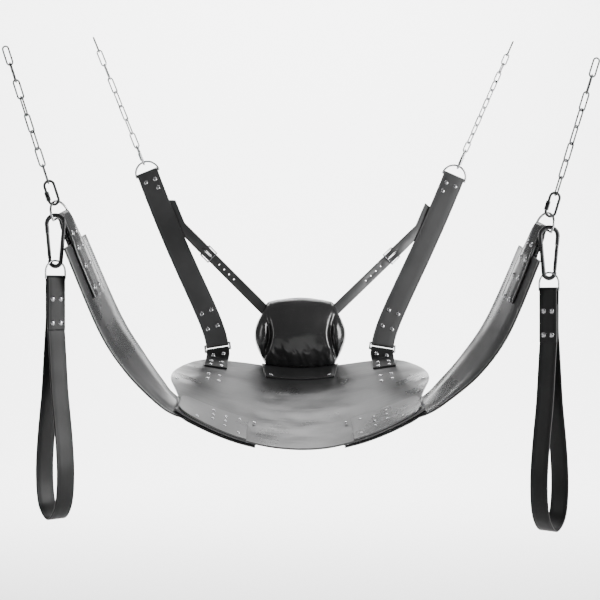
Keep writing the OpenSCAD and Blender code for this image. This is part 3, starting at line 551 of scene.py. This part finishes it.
def sack():
    """The CAD pillow, joined up and shrunk to leave room for the swelling."""
    shape = merged("headrest_pillow")
    for v in shape.verts:
        v.co = pillow_mid + (v.co - pillow_mid) * UNFILLED
    mesh = bpy.data.meshes.new("headrest_sack")
    shape.to_mesh(mesh)
    shape.free()
    mesh.materials.clear()
    made = in_scene("headrest_sack", mesh)
    remesh = made.modifiers.new("remesh", "REMESH")
    remesh.mode = "VOXEL"
    remesh.voxel_size = 4.5 * MM
    return made


def plain(source):
    """The evaluated mesh of an object as a new object, with the source taken away."""
    done = evaluated_mesh(source)
    label = source.name
    bpy.data.objects.remove(source)
    return in_scene(label, done)


pillow = plain(sack())
print("sack", len(pillow.data.vertices), "points")

# %% Fill it with the cloth solver
MOST_SWELL = 9 * MM
before = [v.co.copy() for v in pillow.data.vertices]
filling = pillow.modifiers.new("filling", "CLOTH")
filling.settings.use_pressure = True
filling.settings.uniform_pressure_force = 4.0
filling.settings.effector_weights.gravity = 0.0
filling.settings.tension_stiffness = 12.0
filling.settings.compression_stiffness = 12.0
filling.settings.bending_stiffness = 0.4
for step in range(1, 21):
    bpy.context.scene.frame_set(step)
pillow = plain(pillow)
bpy.context.scene.frame_set(1)
for v, start in zip(pillow.data.vertices, before):
    shift = v.co - start
    if shift.length > MOST_SWELL:
        v.co = start + shift * (MOST_SWELL / shift.length)
# fit the filled sack to the CAD pillow's box and a little over, so that its foot meets the seat's edge
grown_low = pillow_low - Vector((3 * MM, 0, 3 * MM))
grown_high = pillow_high + Vector((3 * MM, 2 * MM, 2 * MM))
for k in range(3):
    least = min(v.co[k] for v in pillow.data.vertices)
    most = max(v.co[k] for v in pillow.data.vertices)
    for v in pillow.data.vertices:
        share = (v.co[k] - least) / (most - least)
        v.co[k] = grown_low[k] + share * (grown_high[k] - grown_low[k])
finer = pillow.modifiers.new("finer", "SUBSURF")
finer.levels = finer.render_levels = 1
pillow = plain(pillow)
print("filled", len(pillow.data.vertices), "points")


# %% Seams, creases and gathers
def crease_line(z):
    """How far out from the middle the front seam runs, at a height from -1 at the foot to 1 at the top."""
    return 0.70 + 0.20 * abs(z) ** 1.5


for v in pillow.data.vertices:
    p = v.co
    x = (p.x - pillow_mid.x) / pillow_half.x
    y = (p.y - pillow_mid.y) / pillow_half.y
    z = (p.z - pillow_low.z) / (2 * pillow_half.z)
    side = math.copysign(1, x)
    front = max(0.0, -y)
    # the gusset folds in beside the front panel, deepest below the middle
    fold = bump(abs(x), crease_line(2 * z - 1) + 0.02, 0.055) * bump(z, 0.40, 0.26) * min(1, front * 1.8)
    p.y += 15 * MM * fold
    p.x -= side * 2 * MM * fold
    # the gusset bulges between its seams
    puff = bump(abs(x), 1.0, 0.16) * bump(z, 0.52, 0.22)
    p.x += side * 4 * MM * puff
    # the front panel is fullest in its upper half
    p.y -= 4 * MM * bump(x, 0.0, 0.5) * bump(z, 0.62, 0.28) * min(1, front * 1.5)
    # crinkles radiate up from the gathered foot
    low = bump(z, 0.08, 0.22) * min(1, front * 2.2)
    ray = noise.noise(Vector((p.x * 62, (p.z - pillow_low.z) * 20, 0.7)))
    ray2 = noise.noise(Vector((p.x * 120 + p.z * 60, (p.z - pillow_low.z) * 55, 4.2)))
    p.y += (4.2 * ray + 2.0 * ray2) * MM * low
    # loose folds over the whole skin
    drift = noise.noise(Vector((p.x * 24, p.y * 24, p.z * 30 + 2.0)))
    p += Vector((x * 0.6, y, 0.3)) * 1.3 * MM * drift
    # the foot hugs the seat's rear edge
    if z < 0.12:
        p.z -= 2.4 * MM * (1 - z / 0.12) * (0.6 + 0.6 * noise.noise(Vector((p.x * 90, 1.0, 0.0))))
pillow.name = "headrest_pillow_sack"
pillow.data.materials.clear()
pillow.data.materials.append(pillow_leather)
shade_smooth(pillow.data)
stands_for(pillow, "headrest_pillow")
print("pillow", len(pillow.data.polygons), "faces")

# %% [markdown]
# ## Rivets
#
# Every rivet is the same: a domed head on a thin collar, and a washer where the shank is set. So one
# rivet is drawn once with Geometry Nodes and set on points, and the points come from the CAD rivets: the
# flat faces of each one give its axis, and its two ends give the place of the head and the washer.


# %% Where the CAD rivets are
DOME = 0.52
WASHER = 0.8
WASHER_SEAT = 1 * MM


def islands(shape):
    left = set(shape.verts)
    while left:
        grow = [left.pop()]
        island = set(grow)
        while grow:
            v = grow.pop()
            for e in v.link_edges:
                w = e.other_vert(v)
                if w in left:
                    left.discard(w)
                    island.add(w)
                    grow.append(w)
        yield island


def rivet_places(cad):
    """(head foot, washer foot, axis, head radius) of each rivet of a CAD part."""
    shape = merged(cad)
    places = []
    for island in islands(shape):
        flats = {}
        for face in {f for v in island for f in v.link_faces}:
            key = tuple(round(c, 2) for c in face.normal)
            flats[key] = flats.get(key, Vector()) + face.normal * face.calc_area()
        axis = -max(flats.values(), key=lambda n: n.length).normalized()
        e1 = axis.orthogonal().normalized()
        e2 = axis.cross(e1)
        spans = [[v.co.dot(e) for v in island] for e in (e1, e2, axis)]
        low, high = [min(s) for s in spans], [max(s) for s in spans]
        centre = e1 * (low[0] + high[0]) / 2 + e2 * (low[1] + high[1]) / 2
        radius = (high[0] - low[0]) / 2
        head_foot = centre + axis * (high[2] - DOME * radius)
        washer_foot = centre + axis * (low[2] + WASHER_SEAT)
        places.append((head_foot, washer_foot, axis, radius))
    shape.free()
    return places


print("rivets on the arm tabs", len(rivet_places("arm_tab_rivets")))


# %% Draw one rivet and set it on the points
def rivet_tree():
    tree = bpy.data.node_groups.new("set_rivets", "GeometryNodeTree")
    face = tree.interface
    face.new_socket("Geometry", in_out="INPUT", socket_type="NodeSocketGeometry")
    for label, default in (("Head Radius", 5 * MM), ("Head Height", 2.6 * MM), ("Washer Radius", 4 * MM)):
        socket = face.new_socket(label, in_out="INPUT", socket_type="NodeSocketFloat")
        socket.default_value = default
    face.new_socket("Plating", in_out="INPUT", socket_type="NodeSocketMaterial")
    face.new_socket("Geometry", in_out="OUTPUT", socket_type="NodeSocketGeometry")
    enter = tree.nodes.new("NodeGroupInput")
    leave = tree.nodes.new("NodeGroupOutput")
    dome = node(tree, "GeometryNodeMeshUVSphere", Segments=20, Rings=12, Radius=1.0)
    head_size = node(tree, "ShaderNodeCombineXYZ", X=enter.outputs["Head Radius"],
                     Y=enter.outputs["Head Radius"], Z=enter.outputs["Head Height"])
    head = node(tree, "GeometryNodeTransform", Geometry=dome.outputs["Mesh"], Scale=head_size.outputs[0])
    collar = node(tree, "GeometryNodeMeshCylinder", Vertices=20, Radius=1.0, Depth=1.0)
    rim_r = node(tree, "ShaderNodeMath", operation="MULTIPLY")
    tree.links.new(enter.outputs["Head Radius"], rim_r.inputs[0])
    rim_r.inputs[1].default_value = 1.03
    rim_size = node(tree, "ShaderNodeCombineXYZ", X=rim_r.outputs[0], Y=rim_r.outputs[0], Z=0.5 * MM)
    rim = node(tree, "GeometryNodeTransform", Geometry=collar.outputs["Mesh"], Scale=rim_size.outputs[0])
    rim.inputs["Translation"].default_value = (0, 0, 0.25 * MM)
    washer_size = node(tree, "ShaderNodeCombineXYZ", X=enter.outputs["Washer Radius"],
                       Y=enter.outputs["Washer Radius"], Z=0.9 * MM)
    washer = node(tree, "GeometryNodeTransform", Geometry=collar.outputs["Mesh"],
                  Scale=washer_size.outputs[0])
    washer.inputs["Translation"].default_value = (0, 0, -0.45 * MM)
    stub_size = node(tree, "ShaderNodeCombineXYZ", X=1.8 * MM, Y=1.8 * MM, Z=0.9 * MM)
    stub = node(tree, "GeometryNodeTransform", Geometry=dome.outputs["Mesh"], Scale=stub_size.outputs[0])
    stub.inputs["Translation"].default_value = (0, 0, -0.8 * MM)
    heads = tree.nodes.new("GeometryNodeJoinGeometry")
    feet = tree.nodes.new("GeometryNodeJoinGeometry")
    for piece, group in ((head, heads), (rim, heads), (washer, feet), (stub, feet)):
        tree.links.new(piece.outputs["Geometry"], group.inputs["Geometry"])
    axis = node(tree, "GeometryNodeInputNamedAttribute", data_type="FLOAT_VECTOR", Name="axis")
    is_head = node(tree, "GeometryNodeInputNamedAttribute", data_type="BOOLEAN", Name="is_head")
    turn = node(tree, "FunctionNodeAlignRotationToVector", axis="Z", Vector=axis.outputs["Attribute"])
    both = tree.nodes.new("GeometryNodeJoinGeometry")
    flip = node(tree, "FunctionNodeBooleanMath", operation="NOT")
    tree.links.new(is_head.outputs["Attribute"], flip.inputs[0])
    for group, chosen in ((heads, is_head.outputs["Attribute"]), (feet, flip.outputs[0])):
        placed = node(tree, "GeometryNodeInstanceOnPoints", Points=enter.outputs["Geometry"],
                      Selection=chosen, Instance=group.outputs["Geometry"],
                      Rotation=turn.outputs["Rotation"])
        tree.links.new(placed.outputs["Instances"], both.inputs["Geometry"])
    real = node(tree, "GeometryNodeRealizeInstances", Geometry=both.outputs["Geometry"])
    smooth = node(tree, "GeometryNodeSetShadeSmooth", Geometry=real.outputs["Geometry"])
    paint = node(tree, "GeometryNodeSetMaterial", Geometry=smooth.outputs["Geometry"],
                 Material=enter.outputs["Plating"])
    tree.links.new(paint.outputs["Geometry"], leave.inputs["Geometry"])
    return tree


def run_tree(name, points, attributes, tree, inputs, edges=()):
    """Sets a node tree on loose points and returns the result as a plain mesh object."""
    mesh = bpy.data.meshes.new(name)
    mesh.from_pydata([tuple(p) for p in points], list(edges), [])
    for label, kind, values in attributes:
        layer = mesh.attributes.new(label, kind, "POINT")
        if kind == "FLOAT_VECTOR":
            layer.data.foreach_set("vector", [c for v in values for c in v])
        else:
            layer.data.foreach_set("value", list(values))
    seeds = in_scene(name + "_seeds", mesh)
    modifier = seeds.modifiers.new("tree", "NODES")
    modifier.node_group = tree
    sockets = {s.name: s.identifier for s in tree.interface.items_tree
               if s.item_type == "SOCKET" and s.in_out == "INPUT"}
    for label, value in inputs.items():
        modifier[sockets[label]] = value
    seeds.update_tag()
    bpy.context.view_layer.update()
    made = evaluated_mesh(seeds)
    seeds.modifiers.remove(modifier)
    bpy.data.objects.remove(seeds)
    made.name = name
    return in_scene(name, made)


set_rivets = rivet_tree()
# how much of its CAD size a head keeps; these rivets also have the duller plating
HEAD_SHARE = {"seat_front_rivets": 0.66, "seat_studs": 0.8, "seat_tab_rivets": 0.9, "headrest_rivets": 0.8}
for cad in ("arm_tab_rivets", "seat_front_rivets", "seat_studs", "rear_strap_rivets", "seat_tab_rivets",
            "headrest_rivets", "stirrup_rivets_left", "stirrup_rivets_right"):
    places = rivet_places(cad)
    head = places[0][3] * HEAD_SHARE.get(cad, 1.0)
    finish = worn_nickel if cad in HEAD_SHARE else nickel
    points = [p[0] for p in places] + [p[1] for p in places]
    aims = [p[2] for p in places] * 2
    heads = [True] * len(places) + [False] * len(places)
    attributes = (("axis", "FLOAT_VECTOR", aims), ("is_head", "BOOLEAN", heads))
    rivets = run_tree(cad + "_set", points, attributes, set_rivets,
                      {"Head Radius": head, "Head Height": DOME * head, "Washer Radius": WASHER * head,
                       "Plating": finish})
    stands_for(rivets, cad)
    print(cad, len(places), "rivets,", len(rivets.data.polygons), "faces")

# %% [markdown]
# ## Stitches
#
# The arms and their ring tabs are layers sewn together along the edge. Thread shows as a row of short
# slanted bars that sink a little into the leather. The rows follow the strap lines that were walked
# before, and Geometry Nodes sets a bar at an even pitch along them.


# %% One stitch, set along a row
def stitch_tree():
    tree = bpy.data.node_groups.new("sew_row", "GeometryNodeTree")
    face = tree.interface
    face.new_socket("Geometry", in_out="INPUT", socket_type="NodeSocketGeometry")
    for label, default in (("Pitch", 4.2 * MM), ("Stitch Length", 3.2 * MM), ("Thread", 0.8 * MM)):
        socket = face.new_socket(label, in_out="INPUT", socket_type="NodeSocketFloat")
        socket.default_value = default
    face.new_socket("Thread Finish", in_out="INPUT", socket_type="NodeSocketMaterial")
    face.new_socket("Geometry", in_out="OUTPUT", socket_type="NodeSocketGeometry")
    enter = tree.nodes.new("NodeGroupInput")
    leave = tree.nodes.new("NodeGroupOutput")
    row = node(tree, "GeometryNodeMeshToCurve", Mesh=enter.outputs["Geometry"])
    even = node(tree, "GeometryNodeResampleCurve", mode="LENGTH", Curve=row.outputs["Curve"],
                Length=enter.outputs["Pitch"])
    bead = node(tree, "GeometryNodeMeshIcoSphere", Radius=0.5, Subdivisions=1)
    size = node(tree, "ShaderNodeCombineXYZ", X=enter.outputs["Stitch Length"], Y=enter.outputs["Thread"],
                Z=enter.outputs["Thread"])
    bar = node(tree, "GeometryNodeTransform", Geometry=bead.outputs["Mesh"], Scale=size.outputs[0])
    bar.inputs["Rotation"].default_value = (0, 0, math.radians(9))
    upper = node(tree, "GeometryNodeInputNamedAttribute", data_type="FLOAT_VECTOR", Name="upper")
    way = tree.nodes.new("GeometryNodeInputTangent")
    turn = node(tree, "FunctionNodeAxesToRotation", primary_axis="X", secondary_axis="Z")
    tree.links.new(way.outputs[0], turn.inputs[0])
    tree.links.new(upper.outputs["Attribute"], turn.inputs[1])
    placed = node(tree, "GeometryNodeInstanceOnPoints", Points=even.outputs["Curve"],
                  Instance=bar.outputs["Geometry"], Rotation=turn.outputs[0])
    real = node(tree, "GeometryNodeRealizeInstances", Geometry=placed.outputs["Instances"])
    smooth = node(tree, "GeometryNodeSetShadeSmooth", Geometry=real.outputs["Geometry"])
    paint = node(tree, "GeometryNodeSetMaterial", Geometry=smooth.outputs["Geometry"],
                 Material=enter.outputs["Thread Finish"])
    tree.links.new(paint.outputs["Geometry"], leave.inputs["Geometry"])
    return tree


thread = leather("thread", 0.075, 0.55, grain=0.6, crease=0.0)
sew_row = stitch_tree()
BEAD_FACES = 20
EDGE_INSET, END_INSET, TAB_INSET = 5.5 * MM, 6 * MM, 5 * MM


def sew(name, rows, body):
    """rows are lists of (point, upper direction)."""
    points, uppers, edges = [], [], []
    for row in rows:
        start = len(points)
        points += [p for p, _ in row]
        uppers += [u for _, u in row]
        edges += [(start + i, start + i + 1) for i in range(len(row) - 1)]
    seam = run_tree(name, points, (("upper", "FLOAT_VECTOR", uppers),), sew_row,
                    {"Thread Finish": thread}, edges)
    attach(seam, body)
    print(name, len(seam.data.polygons) // BEAD_FACES, "stitches")


def strap_rows(steps, inset, faces=(1, -1)):
    """A row along each edge, on the chosen faces of a strap."""
    rows = []
    for face in faces:
        for edge in (-1, 1):
            rows.append([(p + w * edge * (width / 2 - inset) + u * face * thick / 2, u * face)
                         for p, w, u, width, thick, run in steps])
    return rows


for side in ("left", "right"):
    arm = lines["arm_strap_" + side]
    rows = strap_rows(arm, EDGE_INSET)
    p, w, u, width, thick, run = arm[2]
    for face in (1, -1):
        rows.append([(p + w * k / 10 * (width / 2 - END_INSET) + u * face * thick / 2, u * face)
                     for k in range(-10, 11)])
    rows += strap_rows(lines["arm_tab_" + side], TAB_INSET, faces=(1,))
    sew(f"arm_seams_{side}", rows, body_of(f"arm_strap_{side}"))
